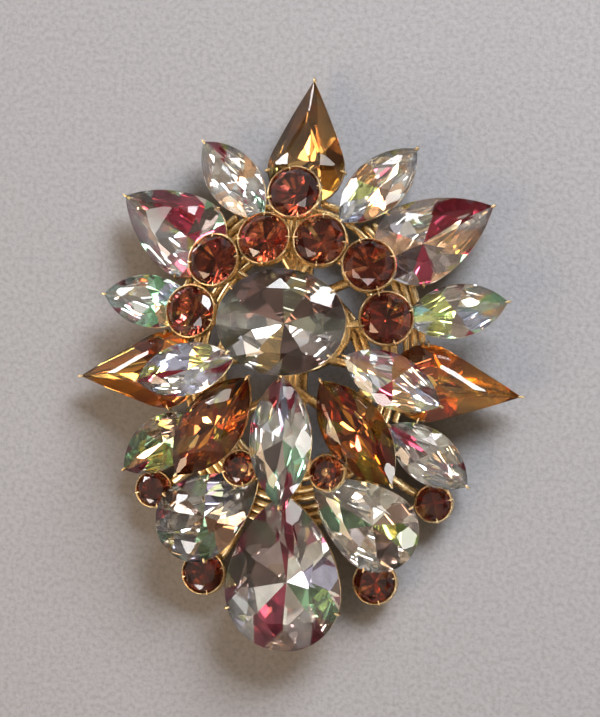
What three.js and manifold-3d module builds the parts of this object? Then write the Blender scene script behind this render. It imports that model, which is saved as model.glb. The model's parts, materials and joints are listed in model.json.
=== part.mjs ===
// Crystal cluster brooch: 33 faceted stones in claw settings and cups, stepped up in three rows
// on an openwork frame, with a hinged pin and a locking catch behind.
// Millimetres. +Z comes out of the brooch's face, +Y points at the top pear, and the origin is
// below the middle of the brooch, on the surface that it lies on. Left and right are alike, apart
// from small differences in where the solderer put a few of the stones.
import * as THREE from 'three';
import { mergeVertices } from 'three/addons/utils/BufferGeometryUtils.js';
import Module from 'manifold-3d';

const wasm = await Module();
wasm.setup();

// ---- driving dimensions -------------------------------------------------------------------

const STONE_GAP = 0.08; // between a stone and its setting
const SEAT_GAP = 0.1; // under the edge of a stone that rests on its setting
const WALL = 0.3; // sheet that the settings are made of
const CUP_WALL = 0.24; // thinner sheet of the round stones' cups
const SKIRT = 0.4; // upright part of a setting's outside
const RIM = 0.3; // how far a round cup's rim stands above the middle of the girdle
const GIRDLE = 0.26; // thickness of a stone's edge
const TABLE = 0.56; // size of the flat top, as a share of the outline
const OPEN_BACK = 0.3; // size of the hole under a stone, as a share of the outline
const CLEARANCE = 0.12; // between soldered neighbours
const CLAW = { width: 0.7, reach: 0.65, thickness: 0.36, foot: 0.5 }; // it reaches in over the stone

const FRAME_Z = 6.2; // middle of the openwork frame's wires over the pin bar
const WIRE_RADIUS = 0.58;
const SPINE = { width: 2.2, thickness: 1.1, top: 16.2, bottom: -14 };
const HUB = { long: 11.7, short: 9.1, width: 1.3 }; // oval ring under the middle stone
const POST = { radius: 1.15, foot: 5.66 };

const PIN_Z = 2.2; // height of the pin above the surface
const BAR = { width: 3.2, under: 4.72, top: 5.5, tongue: 5.1, hinge: 16.6, step: -11.2, end: -14.8 };
const BAR_HOLES = { radius: 0.7, places: [-7, 1, 9] };
const HINGE_Y = 15.2;
const EAR = { inner: 0.95, outer: 1.6, radius: 1.2, hole: 0.5 };
const RIVET = { radius: 0.4, head: 0.72, headThickness: 0.35 };
const STEM = { radius: 0.42, eye: 1.15, eyeHole: 0.5, eyeWidth: 1.5, tip: -15.6, taper: 4 };
const CATCH = { y: -13, length: 2.9, radius: 1.6, hole: 1.06, collar: 0.65, slot: 1.3, pad: 4.98 };
const ROTOR = { length: 3.4, radius: 0.94, bore: 0.64, slot: 1.06, collar: 1.32, play: 0.12 };
const LEVER = { reach: 2.1, thickness: 0.7 };

const GOLD = { color: 0xd9b566, roughness: 0.28, metalness: 1 };
const AMBER = { color: 0xb5651d, roughness: 0.08, metalness: 0 };
const RAINBOW = { color: 0xdfe3da, roughness: 0.06, metalness: 0 };
const SMOKY = { color: 0xc9b89a, roughness: 0.06, metalness: 0 };

// ---- stone outlines: closed, counter-clockwise, with the point or long axis along +Y ----------

function ellipseOutline(length, width, count) {
  return Array.from({ length: count }, (_, i) => {
    const angle = (i / count) * 2 * Math.PI;
    return new THREE.Vector2((-width / 2) * Math.sin(angle), (length / 2) * Math.cos(angle));
  });
}

// Two equal arcs that meet in points at the top and bottom.
function navetteOutline(length, width, count) {
  const radius = (length * length + width * width) / (4 * width);
  const reach = Math.asin(length / 2 / radius);
  const half = count / 2;
  return Array.from({ length: count }, (_, i) => {
    const side = i < half ? -1 : 1;
    const angle = reach * (1 - (2 * (i % half)) / half) * -side;
    const x = side * (radius * Math.cos(angle) - radius + width / 2);
    return new THREE.Vector2(x, radius * Math.sin(angle));
  });
}

// A round end and two arcs that run on from it to a point. The shoulder is the angle round the
// end at which those arcs start: the larger it is, the straighter the sides.
function pearOutline(length, width, count, shoulder) {
  const r = width / 2;
  const centre = new THREE.Vector2(0, r - length / 2);
  const point = new THREE.Vector2(0, length / 2);
  const normal = new THREE.Vector2(-Math.cos(shoulder), Math.sin(shoulder));
  const start = centre.clone().addScaledVector(normal, r);
  const chord = point.clone().sub(start);
  const radius = -chord.lengthSq() / (2 * chord.dot(normal));
  const hub = start.clone().addScaledVector(normal, -radius);
  const sweep = 2 * Math.asin(chord.length() / (2 * radius));
  const steps = Math.round(count * 0.25);
  const left = [];
  for (let i = 0; i < steps; i += 1) {
    const turn = -sweep * (1 - i / steps);
    left.push(normal.clone().rotateAround(new THREE.Vector2(), turn).multiplyScalar(radius).add(hub));
  }
  const bottom = count / 2 - steps;
  for (let i = 0; i < bottom; i += 1) {
    const turn = (i / bottom) * (Math.PI / 2 + shoulder);
    left.push(normal.clone().rotateAround(new THREE.Vector2(), turn).multiplyScalar(r).add(centre));
  }
  const right = left.slice(1).reverse().map((p) => new THREE.Vector2(-p.x, p.y));
  return [...left, new THREE.Vector2(0, -length / 2), ...right];
}

// Each cut gives its outline, the middle that its facets shrink to, and the corners that
// carry a claw, as shares of the way round from the point. A rimmed cut sits inside a cup.
const CUTS = {
  round: (length, width) => ({
    outline: ellipseOutline(length, width, 12),
    middle: 0,
    claws: [],
    rimmed: true,
  }),
  oval: (length, width) => ({
    outline: ellipseOutline(length, width, 20),
    middle: 0,
    claws: [0.1, 0.4, 0.6, 0.9],
  }),
  navette: (length, width) => ({
    outline: navetteOutline(length, width, 12),
    middle: 0,
    claws: [0, 0.5],
  }),
  pear: (length, width) => ({
    outline: pearOutline(length, width, 16, 0.12),
    middle: (width - length) * 0.32,
    claws: [0, 0.3125, 0.6875],
  }),
  dart: (length, width) => ({
    outline: pearOutline(length, width, 16, 0.38),
    middle: (width - length) * 0.3,
    claws: [0, 0.3125, 0.6875],
  }),
};

// ---- where the stones sit ----------------------------------------------------------------------
// at: plan position of the stone's middle; z: height of its girdle there; heading: clockwise turn
// of its point from +Y; tilt: how far its point is tipped down. A pair is repeated on the left.
// nudge says how far each of the two is from its even place, along X, along Y and in heading.

const STONES = [
  { name: 'pear_top', cut: 'dart', size: [14.8, 8.8], at: [0, 24.6], z: 3.66, heading: 0, tilt: 12,
    finish: AMBER },
  { name: 'pear_side', cut: 'dart', size: [14.8, 8.6], at: [17.9, -1.8], z: 4.3, heading: 95.5, tilt: 12,
    finish: AMBER, pair: true, nudge: { right: [0.1, -0.4, 0], left: [-0.1, -0.2, 0] } },
  { name: 'navette_upper', cut: 'navette', size: [12, 5.9], at: [8.3, 20.1], z: 4.2, heading: 42, tilt: 12,
    finish: RAINBOW, pair: true, nudge: { right: [0, -0.2, 0], left: [0, 0, 0] } },
  { name: 'pear_upper', cut: 'pear', size: [14.2, 9.4], at: [15.1, 14.6], z: 4.4, heading: 60, tilt: 12,
    finish: RAINBOW, pair: true },
  { name: 'navette_side', cut: 'navette', size: [11.6, 5.9], at: [17.4, 6.3], z: 5.6, heading: 77, tilt: 10,
    finish: RAINBOW, pair: true, nudge: { right: [0.5, -0.2, 0], left: [0.6, -0.35, -6] } },
  { name: 'navette_lower', cut: 'navette', size: [11, 5.8], at: [15.3, -9.9], z: 3.5, heading: 126, tilt: 12,
    finish: RAINBOW, pair: true },
  { name: 'pear_lower', cut: 'pear', size: [13.6, 9.2], at: [8.6, -17.2], z: 5.7, heading: -55, tilt: -8,
    finish: RAINBOW, pair: true },
  { name: 'pear_bottom', cut: 'pear', size: [17.8, 13.2], at: [0, -23.6], z: 5.36, heading: 0, tilt: -10,
    finish: RAINBOW },
  { name: 'navette_inner', cut: 'navette', size: [11.8, 5.8], at: [12, -2.1], z: 10.4, heading: 115, tilt: 9,
    finish: RAINBOW, pair: true, nudge: { right: [0, 0, 0], left: [0.8, 0.3, 11] } },
  { name: 'navette_amber', cut: 'navette', size: [13.8, 6.8], at: [8.1, -7.9], z: 9.2, heading: 144, tilt: 9,
    finish: AMBER, pair: true },
  { name: 'navette_centre', cut: 'navette', size: [14.6, 6.9], at: [0, -9.2], z: 10.4, heading: 180, tilt: 9,
    finish: RAINBOW },
  { name: 'oval_centre', cut: 'oval', size: [14.3, 11.6], at: [0, 3.6], z: 13.6, heading: 90, tilt: 0,
    finish: SMOKY },
];

// The crescent of round stones, from the top one down the right-hand side.
const CRESCENT = { diameter: 5.5, z: 9.9, tilt: 12 };
const LINK = { thickness: 0.9, width: 0.8, drop: 1.25, short: 4.3 }; // short: how much is left to the cups
const CRESCENT_PLACES = [[0, 18.2], [3.15, 13], [8.7, 10.45], [10.95, 4.7]];

// Small round stones, whose cups are part of the frame.
const SMALL = [
  { name: 'round_side', diameter: 3.8, at: [16, -15.1], z: 2.4 },
  { name: 'round_bottom', diameter: 4.5, at: [9.8, -24.2], z: 2.1 },
  { name: 'round_inner', diameter: 3.6, at: [4.9, -12.3], z: 8 },
];

// ---- building blocks -----------------------------------------------------------------------------

// A closed solid through rings of points, lowest ring first. With loop set, the last ring is
// joined to the first, which makes a hollow band; otherwise both ends are filled in, the lower
// one down to a tip if there is one.
function loft(rings, { loop = false, tip = null } = {}) {
  const count = rings[0].length;
  const points = tip ? [...rings.flat(), tip] : rings.flat();
  const faces = [];
  const bands = loop ? rings.length : rings.length - 1;
  for (let k = 0; k < bands; k += 1) {
    const low = k * count;
    const high = ((k + 1) % rings.length) * count;
    for (let i = 0; i < count; i += 1) {
      const j = (i + 1) % count;
      faces.push(low + i, low + j, high + j, low + i, high + j, high + i);
    }
  }
  if (!loop) {
    const top = (rings.length - 1) * count;
    for (let i = 1; i < count - 1; i += 1) {
      faces.push(top, top + i, top + i + 1);
      if (!tip) faces.push(0, i + 1, i);
    }
    for (let i = 0; tip && i < count; i += 1) {
      faces.push(points.length - 1, (i + 1) % count, i);
    }
  }
  const geometry = new THREE.BufferGeometry().setFromPoints(points);
  geometry.setIndex(faces);
  return geometry;
}

// The outline moved outward by a distance, with the corners kept from running out too far.
function offset(outline, distance) {
  const count = outline.length;
  return outline.map((p, i) => {
    const before = p.clone().sub(outline[(i + count - 1) % count]).normalize();
    const after = outline[(i + 1) % count].clone().sub(p).normalize();
    const normal = new THREE.Vector2(before.y + after.y, -before.x - after.x).normalize();
    const stretch = Math.min(1 / Math.max(normal.dot(new THREE.Vector2(after.y, -after.x)), 0.1), 1.7);
    return p.clone().addScaledVector(normal, distance * stretch);
  });
}

// The outline shrunk towards the middle of its facets, then moved outward, at a height.
function ring(cut, scale, distance, z) {
  const middle = new THREE.Vector2(0, cut.middle);
  const shrunk = cut.outline.map((p) => middle.clone().lerp(p, scale));
  return offset(shrunk, distance).map((p) => new THREE.Vector3(p.x, p.y, z));
}

function toSolid(geometry) {
  const bare = geometry.clone();
  bare.deleteAttribute('normal');
  bare.deleteAttribute('uv');
  const merged = mergeVertices(bare, 1e-4);
  return new wasm.Manifold(new wasm.Mesh({
    numProp: 3,
    vertProperties: new Float32Array(merged.attributes.position.array),
    triVerts: new Uint32Array(merged.index.array),
  }));
}

function toGeometry(solid) {
  const mesh = solid.getMesh();
  const geometry = new THREE.BufferGeometry();
  geometry.setAttribute('position', new THREE.BufferAttribute(mesh.vertProperties, 3));
  geometry.setIndex(new THREE.BufferAttribute(mesh.triVerts, 1));
  return geometry;
}

const join = (geometries) => geometries.map(toSolid).reduce((all, next) => all.add(next));

function cutAway(solid, geometries) {
  return geometries.map(toSolid).reduce((rest, next) => rest.subtract(next), solid);
}

// A cylinder along X, Y or Z with its middle at a point.
function rod(axis, radius, length, centre, sides = 20) {
  const geometry = new THREE.CylinderGeometry(radius, radius, length, sides);
  if (axis === 'x') geometry.rotateZ(Math.PI / 2);
  if (axis === 'z') geometry.rotateX(Math.PI / 2);
  return geometry.translate(...centre);
}

// A box between two corners.
function block(low, high) {
  const size = high.map((value, i) => value - low[i]);
  const centre = high.map((value, i) => (value + low[i]) / 2);
  return new THREE.BoxGeometry(...size).translate(...centre);
}

// A round wire along a smooth curve through points.
function wire(points, radius = WIRE_RADIUS) {
  const section = new THREE.Shape(ellipseOutline(2 * radius, 2 * radius, 6));
  const path = new THREE.CatmullRomCurve3(points.map((p) => new THREE.Vector3(...p)));
  return new THREE.ExtrudeGeometry(section, {
    steps: 2 * (points.length - 1), bevelEnabled: false, extrudePath: path,
  });
}

// ---- stones and settings ---------------------------------------------------------------------------

const crownOf = (width) => 0.15 * width + 0.15;
const pavilionOf = (width) => 0.3 * width + 0.5;
const depthOf = (width) => pavilionOf(width) + 0.25;

// A cut stone: flat table, sloping crown, thin girdle and a pavilion that closes to a point.
function stoneGeometry(cut, width) {
  return loft([
    ring(cut, 1, 0, -GIRDLE / 2),
    ring(cut, 1, 0, GIRDLE / 2),
    ring(cut, TABLE, 0, GIRDLE / 2 + crownOf(width)),
  ], { tip: new THREE.Vector3(0, cut.middle, -GIRDLE / 2 - pavilionOf(width)) });
}

// A claw at one corner of the outline: from under the setting's skirt, up past the stone's edge
// and in over the crown.
function clawGeometry(cut, width, share) {
  const index = Math.round(share * cut.outline.length) % cut.outline.length;
  const edge = cut.outline[index];
  const outward = offset(cut.outline, 1)[index].sub(edge).normalize();
  const inner = ring(cut, TABLE, 0, 0)[index];
  const rise = crownOf(width) / Math.hypot(edge.x - inner.x, edge.y - inner.y);
  const lift = GIRDLE / 2 + STONE_GAP * 1.6;
  const back = STONE_GAP + CLAW.thickness;
  const foot = -GIRDLE / 2 - SEAT_GAP - CLAW.foot;
  const profile = new THREE.Shape([
    new THREE.Vector2(STONE_GAP, foot * 0.6),
    new THREE.Vector2(STONE_GAP, lift),
    new THREE.Vector2(-CLAW.reach, lift + CLAW.reach * rise),
    new THREE.Vector2(-CLAW.reach * 0.8, lift + CLAW.reach * 0.8 * rise + CLAW.thickness),
    new THREE.Vector2(back, lift + CLAW.thickness),
    new THREE.Vector2(back, foot),
    new THREE.Vector2(-WALL / 2, foot),
    new THREE.Vector2(-WALL / 2, foot * 0.6),
  ].reverse());
  const claw = new THREE.ExtrudeGeometry(profile, { depth: CLAW.width, bevelEnabled: false });
  claw.translate(0, 0, -CLAW.width / 2);
  const normal = new THREE.Vector3(outward.x, outward.y, 0);
  const up = new THREE.Vector3(0, 0, 1);
  const basis = new THREE.Matrix4().makeBasis(normal, up, normal.clone().cross(up));
  return claw.applyMatrix4(basis.setPosition(edge.x, edge.y, 0));
}

// An open-backed setting that follows the stone down, with its claws. A rimmed one stands up
// round the stone's edge. Any other ends under the edge, in a sloping seat.
function cupSolid(cut, width, wall) {
  const half = GIRDLE / 2;
  const seat = -half - SEAT_GAP;
  const slope = pavilionOf(width) / (width / 2);
  const top = cut.rimmed
    ? [ring(cut, 1, STONE_GAP + wall, RIM), ring(cut, 1, STONE_GAP, RIM), ring(cut, 1, STONE_GAP, -half)]
    : [ring(cut, 1, 0, seat), ring(cut, 1, -wall, seat - wall * slope)];
  const skirt = cut.rimmed ? STONE_GAP + wall : 0;
  const cup = loft([
    ...top,
    ring(cut, OPEN_BACK, STONE_GAP, -depthOf(width)),
    ring(cut, OPEN_BACK, STONE_GAP + wall, -depthOf(width)),
    ring(cut, 1, skirt, seat - SKIRT),
  ], { loop: true });
  return join([cup, ...cut.claws.map((share) => clawGeometry(cut, width, share))]);
}

// The hollow of a cup, down through its open back.
function hollowGeometry(cut, width) {
  return loft([
    ring(cut, OPEN_BACK, STONE_GAP, -depthOf(width) - WALL),
    ring(cut, 1, STONE_GAP, -GIRDLE / 2),
    ring(cut, 1, STONE_GAP, RIM + crownOf(width)),
  ]);
}

// The room that a stone, its setting and its claws need, for cutting the frame's wires to fit.
function roomGeometry(cut, width) {
  const outside = STONE_GAP + WALL + CLEARANCE;
  const widest = STONE_GAP + CLAW.thickness + CLEARANCE;
  return loft([
    ring(cut, OPEN_BACK, outside, -depthOf(width) - CLEARANCE),
    ring(cut, 1, widest, -GIRDLE / 2 - SEAT_GAP - CLAW.foot - CLEARANCE),
    ring(cut, 1, widest, RIM + CLEARANCE + crownOf(width)),
  ]);
}

// ---- the assembly ------------------------------------------------------------------------------------

const brooch = new THREE.Group();

function addMesh(name, geometry, finish, place = new THREE.Matrix4()) {
  const mesh = new THREE.Mesh(geometry, new THREE.MeshStandardMaterial(finish));
  mesh.name = name;
  mesh.applyMatrix4(place);
  brooch.add(mesh);
}

// Turns a stone's own frame, with its point along +Y, to its place on the brooch.
function placing([x, y], z, heading, tilt) {
  const turn = new THREE.Euler(THREE.MathUtils.degToRad(-tilt), 0, THREE.MathUtils.degToRad(-heading), 'ZXY');
  return new THREE.Matrix4().makeRotationFromEuler(turn).setPosition(x, y, z);
}

// A stone and, where it is one of a pair, the one on the left.
function sides(stone) {
  if (!stone.pair) return [{ ...stone, suffix: '' }];
  const [x, y] = stone.at;
  const { right, left } = stone.nudge ?? { right: [0, 0, 0], left: [0, 0, 0] };
  return [
    { ...stone, suffix: '_right', at: [x + right[0], y + right[1]], heading: stone.heading + right[2] },
    { ...stone, suffix: '_left', at: [-x + left[0], y + left[1]], heading: left[2] - stone.heading },
  ];
}

function addStone(stone, cut, width) {
  const place = placing(stone.at, stone.z, stone.heading, stone.tilt);
  addMesh(`gem_${stone.name}${stone.suffix}`, stoneGeometry(cut, width), stone.finish, place);
  return place;
}

const rooms = [];

for (const stone of STONES.flatMap(sides)) {
  const [length, width] = stone.size;
  const cut = CUTS[stone.cut](length, width);
  const place = addStone(stone, cut, width);
  addMesh(`setting_${stone.name}${stone.suffix}`, toGeometry(cupSolid(cut, width, WALL)), GOLD, place);
  rooms.push(roomGeometry(cut, width).applyMatrix4(place));
}

// The crescent: seven cups soldered to each other by short links. Each leans out from the oval.
const ovalPlace = STONES.find((stone) => stone.name === 'oval_centre').at;
const [crescentTop, ...crescentRight] = CRESCENT_PLACES;
const crescentLeft = crescentRight.map(([x, y]) => [-x, y]).reverse();
const crescent = [...crescentLeft, ...crescentRight, crescentTop];
const crescentCut = CUTS.round(CRESCENT.diameter, CRESCENT.diameter);
const crescentCups = crescent.map((at, i) => {
  const heading = THREE.MathUtils.radToDeg(Math.atan2(at[0] - ovalPlace[0], at[1] - ovalPlace[1]));
  const stone = { ...CRESCENT, name: `round_crescent_${i + 1}`, suffix: '', at, heading, finish: AMBER };
  const place = addStone(stone, crescentCut, CRESCENT.diameter);
  rooms.push(roomGeometry(crescentCut, CRESCENT.diameter).applyMatrix4(place));
  return cupSolid(crescentCut, CRESCENT.diameter, CUP_WALL).transform(place.elements);
});

function link(from, to) {
  const [a, b] = [from, to].map(([x, y]) => new THREE.Vector3(x, y, CRESCENT.z - LINK.drop));
  const bar = new THREE.BoxGeometry(LINK.thickness, LINK.width, a.distanceTo(b) - LINK.short);
  const place = new THREE.Matrix4().lookAt(a, b, new THREE.Vector3(0, 0, 1));
  return bar.applyMatrix4(place.setPosition(a.add(b).multiplyScalar(0.5)));
}

const neighbours = [[0, 1], [1, 2], [2, 3], [3, 4], [4, 5], [2, 6], [3, 6]];
const links = neighbours.map(([i, j]) => toSolid(link(crescent[i], crescent[j])));
addMesh('crescent_cups', toGeometry([...crescentCups, ...links].reduce((all, next) => all.add(next))), GOLD);

// The small round stones and their cups, which join the frame.
const smallStones = SMALL.map((small) => ({ ...small, pair: true, heading: 0, tilt: 0, finish: AMBER }));
const smallCups = smallStones.flatMap(sides).map((small) => {
  const cut = CUTS.round(small.diameter, small.diameter);
  const place = addStone(small, cut, small.diameter);
  return {
    cup: cupSolid(cut, small.diameter, CUP_WALL).transform(place.elements),
    hollow: hollowGeometry(cut, small.diameter).applyMatrix4(place),
  };
});

// Wires of the right-hand half of the frame, each from the middle of the brooch outward.
const WIRES = [
  [[0, 9, FRAME_Z], [3.4, 14.2, FRAME_Z], [6, 17.4, 5], [8.2, 20, 2.6]],
  [[0, 6, FRAME_Z], [7, 9.4, FRAME_Z], [10.8, 12, 4.8], [14.9, 14.6, 2.4]],
  [[0, 3.6, FRAME_Z], [8, 4.3, FRAME_Z], [12.2, 5, 5.4], [17, 5.9, 2.8]],
  [[0, 0.6, FRAME_Z], [5, 0, FRAME_Z], [10, -0.9, FRAME_Z], [17.8, -1.5, 2.6]],
  [[0, -3, FRAME_Z], [4.4, -5.6, FRAME_Z], [9, -8, 5.6], [15.2, -9.6, 2]],
  [[4.4, -5.6, FRAME_Z], [9.4, -11, 4.8], [13, -13.6, 2.4], [16, -15.1, 1.2]],
  [[0, -10, FRAME_Z], [3.6, -12, FRAME_Z], [6.2, -14.4, 4.6], [8.5, -17.2, 2.4]],
  [[3.6, -12, FRAME_Z], [4.8, -16, 3.8], [7, -20.8, 1.4], [9.8, -24.2, 0.8]],
];
const mirror = (points) => points.map(([x, y, z]) => [-x, y, z]);
const MIDDLE_WIRES = [
  [[0, 15, FRAME_Z], [0, 18.6, 6.1], [0, 24.7, 2]],
  [[0, -13.4, FRAME_Z], [0, -16.2, 6.1], [0, -23.6, 1.6]],
];

// Posts that carry the settings of the middle row and the oval: plan position and top.
const POSTS = [[0, 3.6, 10.6], [0, -9.2, 8.6], [0, 18.2, 8]];
const SIDE_POSTS = [
  [4.5, -12.3, 7.2], [9.6, -0.8, 8.6], [8, -7.6, 7.4], [3.15, 13, 8], [8.7, 10.2, 8], [10, 4.7, 8],
];

function frameSolid() {
  const spine = block([-SPINE.width / 2, SPINE.bottom, FRAME_Z - SPINE.thickness / 2],
    [SPINE.width / 2, SPINE.top, FRAME_Z + SPINE.thickness / 2]);
  const hoop = new THREE.Shape(ellipseOutline(HUB.long + HUB.width, HUB.short + HUB.width, 24));
  const hole = ellipseOutline(HUB.long - HUB.width, HUB.short - HUB.width, 24);
  hoop.holes.push(new THREE.Path(hole.reverse()));
  const hub = new THREE.ExtrudeGeometry(hoop, { depth: SPINE.thickness, bevelEnabled: false });
  hub.rotateZ(Math.PI / 2);
  hub.translate(ovalPlace[0], ovalPlace[1], FRAME_Z - SPINE.thickness / 2);
  const wires = [...WIRES, ...WIRES.map(mirror), ...MIDDLE_WIRES].map((points) => wire(points));
  const posts = [...POSTS, ...SIDE_POSTS, ...mirror(SIDE_POSTS)].map(([x, y, top]) => (
    rod('z', POST.radius, top - POST.foot, [x, y, (top + POST.foot) / 2], 8)));
  let frame = join([spine, hub, ...wires, ...posts]);
  frame = cutAway(frame, smallCups.map((small) => small.hollow));
  frame = smallCups.reduce((all, small) => all.add(small.cup), frame);
  frame = cutAway(frame, rooms);
  // Slivers that the cuts leave loose are dropped.
  return frame.decompose().reduce((largest, piece) => (piece.volume() > largest.volume() ? piece : largest));
}

addMesh('back_frame', toGeometry(frameSolid()), GOLD);

// ---- pin, hinge and catch ------------------------------------------------------------------------------

// Flat bar with two ears turned down at the hinge and a thinner tongue for the catch.
function pinBarSolid() {
  const half = BAR.width / 2;
  const ears = [-1, 1].flatMap((side) => {
    const [low, high] = [side * EAR.inner, side * EAR.outer].sort((a, b) => a - b);
    return [
      block([low, HINGE_Y - EAR.radius, PIN_Z], [high, HINGE_Y + EAR.radius, BAR.under + 0.1]),
      rod('x', EAR.radius, high - low, [(low + high) / 2, HINGE_Y, PIN_Z]),
    ];
  });
  const bar = join([
    block([-half, BAR.step, BAR.under], [half, BAR.hinge, BAR.top]),
    block([-half, BAR.end, BAR.tongue], [half, BAR.step + 0.1, BAR.top]),
    ...ears,
  ]);
  const holes = BAR_HOLES.places.map((y) => rod('z', BAR_HOLES.radius, 4, [0, y, BAR.top], 16));
  return cutAway(bar, [rod('x', EAR.hole, 6, [0, HINGE_Y, PIN_Z]), ...holes]);
}

// A shank with a head at each end, along X.
function rivetGeometry() {
  const reach = EAR.outer + 0.1;
  const profile = [
    new THREE.Vector2(0, -reach - RIVET.headThickness),
    new THREE.Vector2(RIVET.head * 0.7, -reach - RIVET.headThickness),
    new THREE.Vector2(RIVET.head, -reach - RIVET.headThickness * 0.5),
    new THREE.Vector2(RIVET.head, -reach),
    new THREE.Vector2(RIVET.radius, -reach),
  ];
  const upper = profile.slice().reverse().map((p) => new THREE.Vector2(p.x, -p.y));
  const geometry = new THREE.LatheGeometry([...profile, ...upper], 20);
  return geometry.rotateZ(-Math.PI / 2).translate(0, HINGE_Y, PIN_Z);
}

// The pin itself: an eye round the rivet, a round stem and a long sharp point.
function pinStemSolid() {
  const length = HINGE_Y - STEM.tip;
  const profile = [[0, 0], [0.05, 0], [STEM.radius * 0.6, STEM.taper * 0.4], [STEM.radius, STEM.taper],
    [STEM.radius, length - 0.7], [0, length - 0.7]].map(([x, y]) => new THREE.Vector2(x, y));
  const stem = new THREE.LatheGeometry(profile, 14).translate(0, STEM.tip, PIN_Z);
  const eye = rod('x', STEM.eye, STEM.eyeWidth, [0, HINGE_Y, PIN_Z]);
  return cutAway(join([stem, eye]), [rod('x', STEM.eyeHole, 4, [0, HINGE_Y, PIN_Z])]);
}

// Two collars on a pad, open underneath so that the pin can swing in.
function catchHousingSolid() {
  const collars = [-1, 1].flatMap((side) => {
    const y = CATCH.y + side * (CATCH.length - CATCH.collar) / 2;
    return [
      rod('y', CATCH.radius, CATCH.collar, [0, y, PIN_Z], 24),
      block([-1.2, y - CATCH.collar / 2, PIN_Z], [1.2, y + CATCH.collar / 2, CATCH.pad - 0.5]),
    ];
  });
  const pad = block([-1.4, CATCH.y - CATCH.length / 2, CATCH.pad - 0.7],
    [1.4, CATCH.y + CATCH.length / 2, CATCH.pad]);
  return cutAway(join([pad, ...collars]), [
    rod('y', CATCH.hole, 5, [0, CATCH.y, PIN_Z], 24),
    block([-CATCH.slot / 2, CATCH.y - 3, -1], [CATCH.slot / 2, CATCH.y + 3, PIN_Z]),
  ]);
}

// Slotted barrel that turns in the collars, with a ring between them and a thumb lever.
function catchRotorSolid() {
  const middle = CATCH.length - 2 * CATCH.collar - 2 * ROTOR.play;
  const barrel = rod('y', ROTOR.radius, ROTOR.length, [0, CATCH.y, PIN_Z], 24);
  const band = rod('y', ROTOR.collar, middle, [0, CATCH.y, PIN_Z], 24);
  const lever = block([-LEVER.reach, CATCH.y - middle / 2, PIN_Z - LEVER.thickness / 2],
    [-ROTOR.radius * 0.95, CATCH.y + middle / 2, PIN_Z + LEVER.thickness / 2]);
  return cutAway(join([barrel, band, lever]), [
    rod('y', ROTOR.bore, 5, [0, CATCH.y, PIN_Z], 24),
    block([-ROTOR.slot / 2, CATCH.y - 3, -1], [ROTOR.slot / 2, CATCH.y + 3, PIN_Z]),
  ]);
}

addMesh('pin_bar', toGeometry(pinBarSolid()), GOLD);
addMesh('hinge_rivet', rivetGeometry(), GOLD);
addMesh('pin_stem', toGeometry(pinStemSolid()), GOLD);
addMesh('catch_housing', toGeometry(catchHousingSolid()), GOLD);
addMesh('catch_rotor', toGeometry(catchRotorSolid()), GOLD);

export default brooch;
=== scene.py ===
"""Crystal cluster brooch: the looks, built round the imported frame. Lengths are in metres."""

import json
import math
import random

import bmesh
import bpy
import numpy as np
from mathutils import Matrix, Vector


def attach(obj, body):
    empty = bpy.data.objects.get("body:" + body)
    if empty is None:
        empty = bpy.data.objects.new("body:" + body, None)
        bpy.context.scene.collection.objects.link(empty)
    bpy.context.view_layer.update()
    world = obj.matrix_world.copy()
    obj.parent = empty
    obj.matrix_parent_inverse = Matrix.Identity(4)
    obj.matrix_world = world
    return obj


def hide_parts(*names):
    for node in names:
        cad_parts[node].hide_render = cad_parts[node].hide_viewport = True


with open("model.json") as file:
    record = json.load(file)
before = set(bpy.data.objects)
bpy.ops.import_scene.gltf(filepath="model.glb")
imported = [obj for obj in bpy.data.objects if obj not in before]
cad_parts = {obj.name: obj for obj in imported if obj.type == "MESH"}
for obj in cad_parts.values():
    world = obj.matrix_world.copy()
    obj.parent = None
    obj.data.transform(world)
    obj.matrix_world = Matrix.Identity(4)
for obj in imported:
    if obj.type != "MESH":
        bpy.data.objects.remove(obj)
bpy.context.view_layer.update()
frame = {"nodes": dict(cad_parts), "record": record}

MM = 0.001
BODY = "brooch_body"
GIRDLE = 0.26 * MM  # thickness of a stone's edge
STONE_GAP = 0.08 * MM  # between a stone and the wall of its setting
SEAT_GAP = 0.1 * MM  # between a stone's edge and the seat below it
WALL = 0.3 * MM  # thickness of a setting
CUP_WALL = 0.24 * MM  # thickness of a round stone's cup
SKIRT = 0.4 * MM  # height of a setting's upright wall below its seat
RIM = 0.3 * MM  # height of a cup's rim above the middle of the girdle
BELOW_STONE = 0.25 * MM  # how far a setting reaches below its stone
OPEN_BACK = 0.3  # a setting's opening at the back, as a share of its outline
CLAW = 0.13 * MM  # radius of a claw
SMALL_CLAW = 0.09 * MM  # radius of a claw on a round cup


# ---- camera, floor and light ------------------------------------------------------------------

CAMERA = {
    "azimuth": 75.2, "elevation": 78, "roll": 3, "distance": 0.2793,
    "target": Vector((0.8, 0.16, 6)) * MM, "lens": 126.5,
}


def make_camera():
    a, e, r = (math.radians(CAMERA[k]) for k in ("azimuth", "elevation", "roll"))
    back = Vector((math.sin(a) * math.cos(e), -math.cos(a) * math.cos(e), math.sin(e)))
    up = Vector((0, 1, 0))
    up = (up - back * up.dot(back)).normalized()
    right = up.cross(back)
    turned_up = up * math.cos(r) - right * math.sin(r)
    turned_right = turned_up.cross(back)
    data = bpy.data.cameras.new("camera")
    data.lens = CAMERA["lens"]
    data.sensor_width = 36
    data.clip_start = 0.01
    camera = bpy.data.objects.new("camera", data)
    bpy.context.scene.collection.objects.link(camera)
    rotation = Matrix((turned_right, turned_up, back)).transposed().to_4x4()
    camera.matrix_world = Matrix.Translation(CAMERA["target"] + back * CAMERA["distance"]) @ rotation
    bpy.context.scene.camera = camera


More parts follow.
